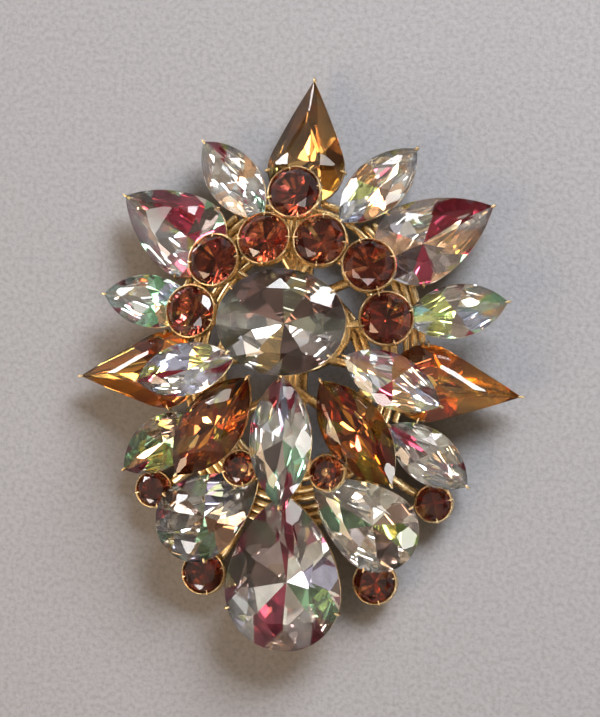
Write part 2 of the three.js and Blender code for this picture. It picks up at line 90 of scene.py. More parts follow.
def area_light(name, place, size, watts, colour, aim=(0, 0, 0.005)):
    data = bpy.data.lights.new(name, "AREA")
    data.shape = "RECTANGLE"
    data.size, data.size_y = size
    data.energy = watts
    data.color = colour
    light = bpy.data.objects.new(name, data)
    bpy.context.scene.collection.objects.link(light)
    light.location = place
    light.rotation_euler = (Vector(aim) - Vector(place)).to_track_quat("-Z", "Y").to_euler()
    return light


# Square soft boxes round the brooch for its stones to catch: angle from +X towards +Y and height
# above the floor, both in degrees, then side in metres, brightness and colour.
SOFT_BOX_DISTANCE = 0.5
SOFT_BOXES = [
    (96, 17, 0.12, 15, (0.93, 0.97, 1)), (149, 16, 0.13, 17, (0.94, 0.97, 1)),
    (50, 23, 0.11, 20, (0.92, 0.96, 1)), (196, 14, 0.10, 11, (1, 0.90, 0.76)),
    (244, 20, 0.12, 13, (1, 0.97, 0.93)), (308, 15, 0.10, 13, (0.93, 0.97, 1)),
    (340, 24, 0.11, 12, (1, 0.98, 0.94)), (50, 47, 0.12, 7, (1, 1, 1)),
    (150, 43, 0.10, 6, (1, 0.95, 0.88)), (215, 44, 0.12, 5, (1, 0.90, 0.78)),
    (275, 50, 0.11, 6, (0.96, 0.98, 1)), (325, 54, 0.10, 5, (1, 0.96, 0.90)),
]


def make_light():
    """A window at the upper right, a warm lamp opposite and soft boxes.

    The soft boxes light nothing matt. The room round it is warm and patchy, but where the camera
    looks past the floor it sees a plain grey."""
    window = area_light("window", (0.27, 0.46, 0.34), (0.34, 0.26), 10.5, (0.91, 0.96, 1))
    window.visible_glossy = False
    area_light("lamp", (-0.42, -0.28, 0.34), (0.3, 0.3), 2.6, (1, 0.72, 0.46))
    for number, (azimuth, height, size, brightness, colour) in enumerate(SOFT_BOXES):
        a, e = math.radians(azimuth), math.radians(height)
        across = SOFT_BOX_DISTANCE * math.cos(e)
        place = (across * math.cos(a), across * math.sin(a), SOFT_BOX_DISTANCE * math.sin(e))
        watts = brightness * math.pi * size * size
        box = area_light(f"soft_box_{number + 1}", place, (size, size), watts, colour)
        box.visible_diffuse = False
    world = bpy.data.worlds.new("room")
    world.use_nodes = True
    tree = world.node_tree
    direction = tree.nodes.new("ShaderNodeTexCoord")
    patches = add_node(tree, "ShaderNodeTexNoise", Scale=2.2, Detail=1.0)
    tree.links.new(direction.outputs["Generated"], patches.inputs["Vector"])
    stops = [(0.38, (0.09, 0.05, 0.025)), (0.5, (0.47, 0.36, 0.25)), (0.62, (1, 0.91, 0.78))]
    room = ramp(tree, patches.outputs["Fac"], stops)
    backdrop = add_node(tree, "ShaderNodeMix", data_type="RGBA")
    backdrop.inputs["B"].default_value = (0.60, 0.58, 0.56, 1)
    path = tree.nodes.new("ShaderNodeLightPath")
    tree.links.new(path.outputs["Is Camera Ray"], backdrop.inputs["Factor"])
    tree.links.new(room, backdrop.inputs["A"])
    tree.links.new(backdrop.outputs["Result"], tree.nodes["Background"].inputs["Color"])
    tree.nodes["Background"].inputs["Strength"].default_value = 0.66
    bpy.context.scene.world = world
    bpy.context.scene.view_settings.view_transform = "Standard"


# ---- node helpers --------------------------------------------------------------------------------


def new_material(name):
    material = bpy.data.materials.new(name)
    material.use_nodes = True
    return material, material.node_tree, material.node_tree.nodes["Principled BSDF"]


def add_node(tree, kind, **settings):
    """A node with the given settings: names of inputs set their values, others are properties."""
    node = tree.nodes.new(kind)
    for key, value in settings.items():
        if key in node.inputs:
            node.inputs[key].default_value = value
        else:
            setattr(node, key, value)
    return node


def ramp(tree, source, stops, interpolation="LINEAR"):
    """Colours for the values of source, from stops of a value and a colour."""
    node = tree.nodes.new("ShaderNodeValToRGB")
    node.color_ramp.interpolation = interpolation
    elements = node.color_ramp.elements
    while len(elements) > 1:
        elements.remove(elements[-1])
    elements[0].position, elements[0].color = stops[0][0], (*stops[0][1], 1)
    for place, colour in stops[1:]:
        elements.new(place).color = (*colour, 1)
    tree.links.new(source, node.inputs["Fac"])
    return node.outputs["Color"]


def noise(tree, scale, detail=3.0, roughness=0.5):
    place = tree.nodes.new("ShaderNodeTexCoord")
    node = add_node(tree, "ShaderNodeTexNoise", Scale=scale, Detail=detail, Roughness=roughness)
    tree.links.new(place.outputs["Object"], node.inputs["Vector"])
    return node.outputs["Fac"]


# ---- materials ------------------------------------------------------------------------------------


def make_floor():
    """A sheet of grey paper with a fine speckle."""
    material, tree, shader = new_material("paper")
    greys = [(0.36, (0.212, 0.208, 0.220)), (0.5, (0.240, 0.236, 0.250)), (0.64, (0.258, 0.253, 0.268))]
    colour = ramp(tree, noise(tree, 1900, 3, 0.6), greys)
    tree.links.new(colour, shader.inputs["Base Color"])
    shader.inputs["Roughness"].default_value = 0.9
    shader.inputs["Specular IOR Level"].default_value = 0.15
    bump = add_node(tree, "ShaderNodeBump", Strength=0.25, Distance=0.0002)
    tree.links.new(noise(tree, 2200, 2), bump.inputs["Height"])
    tree.links.new(bump.outputs["Normal"], shader.inputs["Normal"])
    bpy.ops.mesh.primitive_plane_add(size=3)
    floor = bpy.context.object
    floor.name = "floor"
    floor.data.materials.append(material)


def make_gold(name, light, dark, roughness):
    """Polished plating with uneven colour, slight bumps and duller patches."""
    material, tree, shader = new_material(name)
    colour = ramp(tree, noise(tree, 260, 5, 0.6), [(0.34, dark), (0.6, light)])
    tree.links.new(colour, shader.inputs["Base Color"])
    shader.inputs["Metallic"].default_value = 1
    gloss = tree.nodes.new("ShaderNodeMapRange")
    gloss.inputs["To Min"].default_value = roughness
    gloss.inputs["To Max"].default_value = roughness + 0.22
    tree.links.new(noise(tree, 900, 4, 0.65), gloss.inputs["Value"])
    tree.links.new(gloss.outputs["Result"], shader.inputs["Roughness"])
    bump = add_node(tree, "ShaderNodeBump", Strength=0.25, Distance=0.00003)
    tree.links.new(noise(tree, 1500, 3), bump.inputs["Height"])
    tree.links.new(bump.outputs["Normal"], shader.inputs["Normal"])
    return material


def make_glass(name, tints):
    """The crown of a stone: glass, a little duller in places. Each facet takes one of the tints."""
    material, tree, shader = new_material(name)
    facet = add_node(tree, "ShaderNodeAttribute", attribute_name="facet")
    tree.links.new(ramp(tree, facet.outputs["Fac"], tints, "CONSTANT"), shader.inputs["Base Color"])
    shader.inputs["Transmission Weight"].default_value = 1
    shader.inputs["IOR"].default_value = 1.56
    gloss = tree.nodes.new("ShaderNodeMapRange")
    gloss.inputs["To Min"].default_value = 0.0
    gloss.inputs["To Max"].default_value = 0.02
    tree.links.new(noise(tree, 1200, 3), gloss.inputs["Value"])
    tree.links.new(gloss.outputs["Result"], shader.inputs["Roughness"])
    return material


def make_foil(name, palette):
    """The mirrored back of a stone. Each facet takes one of the palette's colours."""
    material, tree, shader = new_material(name)
    facet = add_node(tree, "ShaderNodeAttribute", attribute_name="facet")
    colour = ramp(tree, facet.outputs["Fac"], palette, "CONSTANT")
    shade = ramp(tree, noise(tree, 420, 2), [(0.3, (0.8, 0.8, 0.8)), (0.7, (1, 1, 1))])
    mix = add_node(tree, "ShaderNodeMix", data_type="RGBA", blend_type="MULTIPLY")
    mix.inputs["Factor"].default_value = 1
    tree.links.new(colour, mix.inputs["A"])
    tree.links.new(shade, mix.inputs["B"])
    tree.links.new(mix.outputs["Result"], shader.inputs["Base Color"])
    shader.inputs["Metallic"].default_value = 0.88
    shader.inputs["Roughness"].default_value = 0.04
    return material


# Colours of the foils and of the crowns. A facet's number between 0 and 1 picks the last colour that
# starts at or below it, so a colour's share of the facets is about the step to the next one.
RAINBOW = [
    (0.00, (1.0, 0.99, 0.97)), (0.24, (0.88, 0.78, 0.70)), (0.36, (0.55, 0.42, 0.37)),
    (0.49, (0.25, 0.18, 0.17)), (0.54, (0.50, 0.08, 0.15)), (0.66, (0.44, 0.74, 0.50)),
    (0.75, (0.90, 0.54, 0.36)), (0.85, (1.0, 0.76, 0.42)), (0.91, (0.62, 0.62, 0.86)),
    (0.95, (0.72, 0.82, 0.28)),
]
# The rainbow colours darkened by a third, as painted shade for the pear at the lower left, on the side
# away from the window.
RAINBOW_IN_SHADE = [(place, tuple(0.66 * part for part in colour)) for place, colour in RAINBOW]
SILVER = [
    (0.00, (0.94, 0.97, 1.0)), (0.38, (0.87, 0.85, 0.83)), (0.48, (0.50, 0.42, 0.39)),
    (0.56, (0.22, 0.18, 0.18)), (0.60, (0.52, 0.06, 0.12)), (0.72, (0.50, 0.84, 0.62)),
    (0.80, (1.0, 0.66, 0.42)), (0.88, (0.66, 0.74, 1.0)), (0.94, (0.84, 0.90, 0.34)),
]
AMBER = [
    (0.00, (0.34, 0.11, 0.045)), (0.24, (0.13, 0.04, 0.02)), (0.42, (0.52, 0.21, 0.07)),
    (0.56, (0.95, 0.48, 0.13)), (0.66, (0.40, 0.06, 0.05)), (0.74, (0.44, 0.40, 0.10)),
    (0.86, (0.22, 0.11, 0.045)), (0.95, (1.0, 0.80, 0.46)),
]
HONEY = [
    (0.00, (0.66, 0.28, 0.09)), (0.24, (0.36, 0.11, 0.05)), (0.40, (1.0, 0.66, 0.20)),
    (0.58, (0.80, 0.36, 0.10)), (0.74, (0.50, 0.38, 0.12)), (0.84, (1.0, 0.82, 0.42)),
    (0.94, (0.20, 0.07, 0.03)),
]
OLIVE = [
    (0.00, (0.46, 0.29, 0.12)), (0.28, (0.30, 0.16, 0.07)), (0.44, (0.62, 0.43, 0.19)),
    (0.60, (0.17, 0.08, 0.04)), (0.72, (0.42, 0.40, 0.15)), (0.82, (0.90, 0.48, 0.16)),
    (0.93, (0.86, 0.72, 0.46)),
]
TOPAZ = [
    (0.00, (0.34, 0.10, 0.06)), (0.24, (0.13, 0.035, 0.03)), (0.46, (0.56, 0.20, 0.11)),
    (0.62, (0.20, 0.05, 0.045)), (0.78, (0.46, 0.10, 0.10)), (0.90, (0.95, 0.56, 0.32)),
    (0.96, (0.50, 0.38, 0.16)),
]
SMOKY = [
    (0.00, (0.16, 0.10, 0.09)), (0.24, (0.52, 0.47, 0.48)), (0.38, (0.27, 0.25, 0.14)),
    (0.48, (0.97, 0.98, 1.0)), (0.70, (0.42, 0.45, 0.38)), (0.80, (1.0, 0.76, 0.38)),
    (0.88, (0.30, 0.19, 0.18)),
]
RAINBOW_CROWN = [
    (0.00, (1, 1, 1)), (0.55, (0.90, 0.98, 0.94)), (0.70, (0.98, 0.88, 0.92)),
    (0.80, (1.0, 0.95, 0.82)), (0.90, (0.90, 0.89, 0.98)),
]
AMBER_CROWN = [(0.00, (0.94, 0.78, 0.54)), (0.5, (0.90, 0.70, 0.46)), (0.8, (0.97, 0.86, 0.62))]
HONEY_CROWN = [(0.00, (0.96, 0.78, 0.52)), (0.5, (0.92, 0.70, 0.42)), (0.8, (0.98, 0.88, 0.62))]
OLIVE_CROWN = [(0.00, (0.92, 0.82, 0.58)), (0.5, (0.86, 0.74, 0.50)), (0.8, (0.96, 0.89, 0.64))]
TOPAZ_CROWN = [(0.00, (0.93, 0.70, 0.57)), (0.5, (0.88, 0.60, 0.48)), (0.8, (0.96, 0.78, 0.62))]
SMOKY_CROWN = [(0.00, (0.92, 0.88, 0.84)), (0.5, (0.82, 0.78, 0.80)), (0.8, (0.96, 0.94, 0.90))]


# ---- stones: outlines in the stone's own plane, with its point along +Y ---------------------------


def ellipse_outline(front, rear, width, count):
    """An ellipse. Both its ends are alike, so rear, which every outline is given, isn't used."""
    angles = [2 * math.pi * i / count for i in range(count)]
    return [(-width / 2 * math.sin(a), front * math.cos(a)) for a in angles]


def navette_outline(front, rear, width, count):
    """Two equal arcs from point to point."""
    length = front + rear
    radius = (length ** 2 + width ** 2) / (4 * width)
    reach = math.asin(length / 2 / radius)
    half = count // 2
    left = []
    for i in range(half):
        angle = reach * (1 - 2 * i / half)
        left.append((radius - width / 2 - radius * math.cos(angle), radius * math.sin(angle)))
    return left + [(-x, -y) for x, y in left]


def pear_outline(front, rear, width, count, shoulder=0.12):
    """A round end of half the width, and two arcs from its shoulders to the point."""
    r = width / 2
    centre = Vector((0, r - rear))
    point = Vector((0, front))
    normal = Vector((-math.cos(shoulder), math.sin(shoulder)))
    start = centre + normal * r
    chord = point - start
    radius = -chord.length_squared / (2 * chord.dot(normal))
    hub = start - normal * radius
    sweep = 2 * math.asin(chord.length / (2 * radius))

    def turned(angle, length):
        c, s = math.cos(angle), math.sin(angle)
        return Vector((normal.x * c - normal.y * s, normal.x * s + normal.y * c)) * length

    steps = count // 4
    bottom = count // 2 - steps
    left = [hub + turned(-sweep * (1 - i / steps), radius) for i in range(steps)]
    left += [centre + turned(i / bottom * (math.pi / 2 + shoulder), r) for i in range(bottom)]
    right = [Vector((-p.x, p.y)) for p in reversed(left[1:])]
    return [tuple(p) for p in left + [Vector((0, -rear))] + right]


def dart_outline(front, rear, width, count):
    """A pear with straighter sides."""
    return pear_outline(front, rear, width, count, 0.38)


OUTLINES = {
    "round": ellipse_outline, "oval": ellipse_outline, "navette": navette_outline,
    "pear": pear_outline, "dart": dart_outline, "sliver": navette_outline,
}
OUTLINE_CORNERS = 48
DARTS = ("gem_pear_top", "gem_pear_side_left", "gem_pear_side_right")
FINE_CUTS = ("dart", "sliver")
LEVEL_STEP = 0.02 * MM  # corners whose heights are nearer than this are at one level
MARGIN = 1 * MM  # counted round a stone before its setting is looked at closely


def read_stone(name):
    """A stone's own frame and sizes, read from its CAD solid.

    Its largest area that faces up is the table. The heights at which it has corners are, from below,
    the culet, the girdle's lower edge, the girdle's upper edge and, last, the table."""
    mesh = frame["nodes"][name].data
    points = np.array([v.co for v in mesh.vertices], float)
    areas = {}
    for face in mesh.polygons:
        if face.normal.z > 0.9:
            key = tuple(round(c, 2) for c in face.normal)
            areas[key] = areas.get(key, 0) + face.area
    top = max(areas, key=areas.get)
    up = max((f for f in mesh.polygons if tuple(round(c, 2) for c in f.normal) == top),
             key=lambda f: f.area).normal.normalized()
    heights = points @ np.array(up)
    levels = []
    for height in sorted(heights):
        if not levels or height - levels[-1] > LEVEL_STEP:
            levels.append(height)
    culet, low, high, table = levels[0], levels[1], levels[2], levels[-1]
    tip = Vector(points[heights.argmin()])
    middle = (low + high) / 2
    origin = tip + up * (middle - culet)
    ring = [Vector(p) - up * (up.dot(Vector(p)) - middle) - origin
            for p, h in zip(points, heights) if abs(h - high) < LEVEL_STEP / 2]
    along = max(ring, key=lambda p: round(p.length, 6)).normalized()
    across = along.cross(up)
    cut = name.split("_")[1]
    if name in DARTS:
        cut = "dart"
    if "amber" in name:
        cut = "sliver"
    stone = {
        "name": name, "cut": cut, "front": max(p.dot(along) for p in ring),
        "rear": -min(p.dot(along) for p in ring), "width": 2 * max(p.dot(across) for p in ring),
        "crown": table - high, "pavilion": low - culet,
        "place": Matrix.Translation(origin) @ Matrix((across, along, up)).transposed().to_4x4(),
    }
    outline = OUTLINES[cut](stone["front"], stone["rear"], stone["width"], OUTLINE_CORNERS)
    stone["outline"] = [Vector(p) for p in outline]
    stone["reach"] = max(p.length for p in stone["outline"]) + 2 * MARGIN
    return stone


MITRE_LIMIT = 1.7


def corner_normals(outline):
    """The outward direction at each corner, and how far a mitred offset stretches there."""
    count = len(outline)
    normals = []
    for i, p in enumerate(outline):
        before = (p - outline[i - 1]).normalized()
        after = (outline[(i + 1) % count] - p).normalized()
        normal = Vector((before.y + after.y, -before.x - after.x)).normalized()
        stretch = min(1 / max(normal.dot(Vector((after.y, -after.x))), 0.1), MITRE_LIMIT)
        normals.append((normal, stretch))
    return normals


def facet_directions(outline, count, shift):
    """Outward directions at evenly spaced places round the outline, starting at its point."""
    lengths = [0.0]
    total = len(outline)
    for i in range(total):
        lengths.append(lengths[-1] + (outline[(i + 1) % total] - outline[i]).length)
    normals = [n for n, _ in corner_normals(outline)]
    result = []
    for k in range(count):
        goal = lengths[-1] * ((k + shift) / count % 1)
        i = max(j for j in range(total) if lengths[j] <= goal + 1e-9)
        share = (goal - lengths[i]) / max(lengths[i + 1] - lengths[i], 1e-9)
        result.append(normals[i].lerp(normals[(i + 1) % total], share).normalized())
    return result


# Facets in one row above the girdle and below it, the table's size as a share of the stone's, and how
# far down the pavilion its lower facets reach, as a share of its depth.
FACETS = {"round": 8, "oval": 10, "navette": 8, "pear": 9, "dart": 8, "sliver": 8}
FACETS_BELOW = {**FACETS, "sliver": 14}
TABLE = {"round": 0.64, "oval": 0.60, "navette": 0.50, "pear": 0.52, "dart": 0.42, "sliver": 0.52}
LOWER = {"round": 0.82, "oval": 0.5, "navette": 0.4, "pear": 0.4, "dart": 0.35, "sliver": 0.45}
# Fine cuts have one more row of facets, which starts at the first share of the pavilion's depth and
# comes to a point at the second.
BEND = 0.55
BOTTOM = 0.94
# Where the star facets end, as a share of the crown's height above the girdle.
STAR_FOOT = 0.55
# A stone is cut at this many times its size, and these three distances are for that size.
ENLARGED = 1000
CUT_TOLERANCE = 1e-4
MERGE_DISTANCE = 2e-3
SHORTEST_EDGE = 1e-3
# Faces are taken as upright, and so as the girdle's, when their normals slope less than this.
UPRIGHT = 0.02


def cut_stone(stone, rng):
    """Cuts the stone from a block, one plane for each facet, as a cutter would."""
    outline = stone["outline"]
    crown, pavilion = stone["crown"], stone["pavilion"]
    half = GIRDLE / 2
    count = FACETS[stone["cut"]]
    table = TABLE[stone["cut"]]

    def reach(direction):
        return max(p.dot(direction) for p in outline)

    planes = [(Vector((0, 0, 1)), half + crown)]
    edge = math.cos(math.pi / count)
    main = 1 - table / edge
    star_radius = (1 - main * STAR_FOOT) / edge
    star = (star_radius - table) / (1 - STAR_FOOT)
    upper = (1 - star_radius * math.cos(math.pi / count / 2)) / STAR_FOOT
    reach_down = LOWER[stone["cut"]]
    below = FACETS_BELOW[stone["cut"]]
    edge_below = math.cos(math.pi / below)
    lower = (1 - (1 - reach_down) / edge_below * math.cos(math.pi / below / 2)) / reach_down
    for shift, rate, base in ((0, main, 0), (0.5, star, 1), (0.25, upper, 0), (0.75, upper, 0)):
        for direction in facet_directions(outline, count, shift):
            span = reach(direction)
            slope = rate * span / crown
            # at the girdle the plane is at the outline; a star facet is set by the table's edge
            start = span if base == 0 else span * table + slope * crown
            planes.append((Vector((direction.x, direction.y, slope)), start + slope * half))
    rows = [(0, 1, 1), (0.25, lower, 1), (0.75, lower, 1)]
    if stone["cut"] in FINE_CUTS:
        steep = (1 - BEND) / edge_below / (BOTTOM - BEND)
        rows.append((0.5, steep, steep * BOTTOM))
    for shift, rate, start in rows:
        for direction in facet_directions(outline, below, shift):
            span = reach(direction)
            slope = rate * span / pavilion
            planes.append((Vector((direction.x, direction.y, -slope)), start * span + slope * half))

    bm = bmesh.new()
    tag = bm.faces.layers.float.new("facet")
    bottom = [bm.verts.new((p.x, p.y, -half - pavilion)) for p in outline]
    top = [bm.verts.new((p.x, p.y, half + crown)) for p in outline]
    bm.faces.new(top)
    bm.faces.new(list(reversed(bottom)))
    total = len(outline)
    for i in range(total):
        j = (i + 1) % total
        bm.faces.new((bottom[i], bottom[j], top[j], top[i]))
    bmesh.ops.scale(bm, vec=Vector((ENLARGED, ENLARGED, ENLARGED)), verts=bm.verts)
    for normal, distance in planes:
        length = normal.length
        unit = normal / length
        spot = unit * (distance / length * ENLARGED)
        cut = bmesh.ops.bisect_plane(bm, geom=bm.verts[:] + bm.edges[:] + bm.faces[:],
                                     dist=CUT_TOLERANCE, plane_co=spot, plane_no=unit,
                                     clear_outer=True)
        edges = [e for e in cut["geom_cut"] if isinstance(e, bmesh.types.BMEdge)]
        if len(edges) > 2:
            made = bmesh.ops.contextual_create(bm, geom=edges)["faces"]
            for face in made:
                face[tag] = rng.random()
    bmesh.ops.remove_doubles(bm, verts=bm.verts, dist=MERGE_DISTANCE)
    bmesh.ops.dissolve_degenerate(bm, edges=bm.edges, dist=SHORTEST_EDGE)
    bmesh.ops.recalc_face_normals(bm, faces=bm.faces)
    for face in bm.faces:
        face.material_index = 1 if face.normal.z < -UPRIGHT else 0
        face.smooth = abs(face.normal.z) < UPRIGHT
    bmesh.ops.scale(bm, vec=Vector((MM, MM, MM)), verts=bm.verts)
    return bm


# ---- metal: bands, claws and wires ------------------------------------------------------------------


def new_piece(name, bm, materials, place=None):
    """An object made of a bmesh, which is freed."""
    if place is not None:
        bm.transform(place)
    mesh = bpy.data.meshes.new(name)
    bm.to_mesh(mesh)
    bm.free()
    for material in materials:
        mesh.materials.append(material)
    piece = bpy.data.objects.new(name, mesh)
    bpy.context.scene.collection.objects.link(piece)
    return piece


def add_band(bm, rings):
    """A closed band through rings of points, the last ring joined back to the first."""
    rows = [[bm.verts.new(p) for p in row] for row in rings]
    count = len(rows[0])
    for k, low in enumerate(rows):
        high = rows[(k + 1) % len(rows)]
        for i in range(count):
            j = (i + 1) % count
            bm.faces.new((low[i], low[j], high[j], high[i])).smooth = True


def outline_ring(stone, scale, distance, z):
    """The stone's outline at height z, scaled and then moved outward by a distance."""
    shrunk = [p * scale for p in stone["outline"]]
    normals = corner_normals(shrunk)
    return [(p.x + n.x * s * distance, p.y + n.y * s * distance, z)
            for p, (n, s) in zip(shrunk, normals)]


# A bar's domed end: shares of its radius, and how far out they lie, in radii.
DOME = [(0.97, 0.35), (0.75, 0.7), (0.4, 0.93)]


def add_tube(bm, points, radii, sides=10):
    """A round bar through points with a radius at each, closed by domed ends."""
    points = [Vector(p) for p in points]
    count = len(points)
    tangents = [(points[min(i + 1, count - 1)] - points[max(i - 1, 0)]).normalized()
                for i in range(count)]
    side = tangents[0].orthogonal().normalized()
    sections = []
    for i, (point, radius) in enumerate(zip(points, radii)):
        side = (side - tangents[i] * side.dot(tangents[i])).normalized()
        sections.append((point, tangents[i], side, radius))
    first, last = sections[0], sections[-1]
    rows = [(first[0] - first[1] * first[3] * out, first[1], first[2], first[3] * share)
            for share, out in reversed(DOME)]
    rows += sections
    rows += [(last[0] + last[1] * last[3] * out, last[1], last[2], last[3] * share)
             for share, out in DOME]
    loops = []
    for point, tangent, side, radius in rows:
        other = tangent.cross(side)
        loops.append([bm.verts.new(point + (side * math.cos(a) + other * math.sin(a)) * radius)
                      for a in (2 * math.pi * k / sides for k in range(sides))])
    for low, high in zip(loops, loops[1:]):
        for i in range(sides):
            j = (i + 1) % sides
            bm.faces.new((low[i], low[j], high[j], high[i])).smooth = True
    for loop, reach, row in ((loops[0], -1, rows[0]), (loops[-1], 1, rows[-1])):
        tip = bm.verts.new(row[0] + row[1] * row[3] * 0.25 * reach)
        for i in range(sides):
            corners = (loop[i], loop[(i + 1) % sides], tip)
            bm.faces.new(corners if reach > 0 else corners[::-1]).smooth = True


# Where the claws stand, as shares of the outline's corners counted from its point.
CLAWS = {
    "round": (0.125, 0.375, 0.625, 0.875), "oval": (0.1, 0.4, 0.6, 0.9),
    "navette": (0, 0.5), "sliver": (0, 0.5), "pear": (0, 0.3125, 0.6875), "dart": (0, 0.3125, 0.6875),
}


def add_claw(bm, stone, share, radius):
    """A prong up the outside of the band and over the stone's edge, lying on the crown."""
    outline = stone["outline"]
    index = round(share * len(outline)) % len(outline)
    normal, stretch = corner_normals(outline)[index]
    edge = outline[index]
    out = STONE_GAP * stretch + radius
    if stone["cut"] == "round":
        out = (STONE_GAP + CUP_WALL) * stretch
    inner = edge * TABLE[stone["cut"]]
    run = (edge - inner).length
    rise = stone["crown"] / run
    inward = (inner - edge).normalized()
    half = GIRDLE / 2

    def over(distance, height):
        spot = edge + inward * distance
        return (spot.x, spot.y, half + distance * rise + height)

    def outside(share_out, z):
        spot = edge + normal * share_out
        return (spot.x, spot.y, z)

    depth = stone["pavilion"]
    low = edge * 0.8 + normal * out
    points = [(low.x, low.y, -depth * 0.28), outside(out, -half - 0.35 * MM), outside(out, RIM * 0.4),
              outside(out * 0.62, half + radius * 1.35), over(radius * 0.7, radius * 0.95),
              over(radius * 1.9, radius * 0.62)]
    radii = [radius * k for k in (0.75, 0.85, 0.95, 1.0, 0.95, 0.7)]
    add_tube(bm, points, radii)


def cup_mesh(stone, wall=WALL, claw=CLAW):
    """An open-backed setting that follows the stone down, with its claws.

    A round stone's cup has a rounded rim about its edge. Any other setting ends under the edge,
    in a sloping seat."""
    depth = stone["pavilion"] + BELOW_STONE
    soft = wall * 0.3
    half = GIRDLE / 2
    seat = -half - SEAT_GAP
    foot = [
        outline_ring(stone, OPEN_BACK, STONE_GAP, -depth),
        outline_ring(stone, OPEN_BACK, STONE_GAP + wall - soft, -depth),
        outline_ring(stone, OPEN_BACK, STONE_GAP + wall, -depth + soft),
    ]
    if stone["cut"] == "round":
        outside = STONE_GAP + wall
        rings = [outline_ring(stone, 1, STONE_GAP, -half)] + foot + [
            outline_ring(stone, 1, outside, seat - SKIRT),
            outline_ring(stone, 1, outside, -half),
            outline_ring(stone, 1, outside - soft, RIM - soft * 1.6),
            outline_ring(stone, 1, outside - soft * 1.5, RIM - soft * 0.4),
            outline_ring(stone, 1, outside - soft * 2.1, RIM),
            outline_ring(stone, 1, STONE_GAP + soft * 0.2, RIM - soft * 0.2),
            outline_ring(stone, 1, STONE_GAP, RIM - soft * 0.8),
        ]
    else:
        slope = stone["pavilion"] / (stone["width"] / 2)
        rings = [outline_ring(stone, 1, -wall, seat - wall * slope)] + foot + [
            outline_ring(stone, 1, 0, seat - SKIRT),
            outline_ring(stone, 1, 0, seat - soft),
            outline_ring(stone, 1, -soft, seat - soft * slope),
        ]
    bm = bmesh.new()
    add_band(bm, rings)
    for share in CLAWS[stone["cut"]]:
        add_claw(bm, stone, share, claw)
    bmesh.ops.recalc_face_normals(bm, faces=bm.faces)
    return bm


def finish_piece(piece, node):
    """Puts a piece on the brooch's body, in the place of one CAD node."""
    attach(piece, BODY)
    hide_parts(node)


def merge(target, source, place=None):
    """Adds one bmesh to another through a temporary mesh."""
    if place is not None:
        source.transform(place)
    mesh = bpy.data.meshes.new("temporary")
    source.to_mesh(mesh)
    source.free()
    target.from_mesh(mesh)
    bpy.data.meshes.remove(mesh)


# ---- the openwork frame ---------------------------------------------------------------------------

# Routes of the right-hand wires in millimetres, from the middle of the brooch outward. FZ is the
# height of the frame's flat middle.
FZ = 6.2
WIRES = [
    [(0, 9, FZ), (3.4, 14.2, FZ), (6, 17.4, 5), (8.2, 20, 2.6)],
    [(0, 6, FZ), (7, 9.4, FZ), (10.8, 12, 4.8), (14.9, 14.6, 2.4)],
    [(0, 3.6, FZ), (8, 4.3, FZ), (12.2, 5, 5.4), (17, 5.9, 2.8)],
    [(0, 0.6, FZ), (5, 0, FZ), (10, -0.9, FZ), (17.8, -1.5, 2.6)],
    [(0, -3, FZ), (4.4, -5.6, FZ), (9, -8, 5.6), (15.2, -9.6, 2)],
    [(4.4, -5.6, FZ), (9.4, -11, 4.8), (13, -13.6, 2.4), (16, -15.1, 1.2)],
    [(0, -10, FZ), (3.6, -12, FZ), (6.2, -14.4, 4.6), (8.5, -17.2, 2.4)],
    [(3.6, -12, FZ), (4.8, -16, 3.8), (7, -20.8, 1.4), (9.8, -24.2, 0.8)],
]
MIDDLE_WIRES = [
    [(0, 15, FZ), (0, 18.6, 6.1), (0, 24.7, 2)],
    [(0, -13.4, FZ), (0, -16.2, 6.1), (0, -23.6, 1.6)],
]
# Hoops of wire between the settings, in millimetres: half size along X and along Y, middle along Y,
# height, and how many wires lie side by side. HOOP_STEP is the distance between those.
HOOPS = [(13.4, 17.6, 0.2, 4.4, 3), (10.9, 14.0, -1.0, 5.3, 2), (8.4, 10.2, -2.6, 5.5, 2)]
HOOP_STEP = 0.9
# Posts up to the crescent and the inner settings: X, Y and about the height that they reach.
MIDDLE_POSTS = [(0, 3.6, 9.3), (0, -9.2, 7.6), (0, 18.2, 7.2)]
SIDE_POSTS = [
    (4.5, -12.3, 6.9), (9.6, -0.8, 8.0), (8, -7.6, 6.5),
    (3.15, 13, 7.3), (8.7, 10.2, 7.3), (10, 4.7, 7.3),
]
# The ring in the middle: half size along X and along Y, middle along Y, and its section.
HUB_X = 5.85
HUB_Y = 4.55
HUB_MIDDLE = 3.6
HUB_CORNERS = 72
HUB_SECTION = [
    (-0.65, -0.35), (-0.5, -0.52), (0.5, -0.52), (0.65, -0.35),
    (0.65, 0.35), (0.5, 0.52), (-0.5, 0.52), (-0.65, 0.35),
]
SPINE = (-14, -12, -6, 0, 6, 12, 16.2)  # Y of the points of the bars down the middle
WIRE = 0.55 * MM  # radius of a wire
HOOP_WIRE = 0.8 * WIRE  # radius of a hoop's wire


def smooth_route(points, steps=20):
    """A Catmull-Rom curve through the points."""
    points = [Vector(p) * MM for p in points]
    ends = [points[0] * 2 - points[1]] + points + [points[-1] * 2 - points[-2]]
    route = []
    for k in range(1, len(ends) - 2):
        a, b, c, d = ends[k - 1:k + 3]
        for i in range(steps):
            t = i / steps
            route.append(0.5 * (2 * b + (c - a) * t + (2 * a - 5 * b + 4 * c - d) * t * t
                                + (3 * b - a - 3 * c + d) * t ** 3))
    return route + [points[-1]]


def mirrored(points):
    return [(-x, y, z) for x, y, z in points]


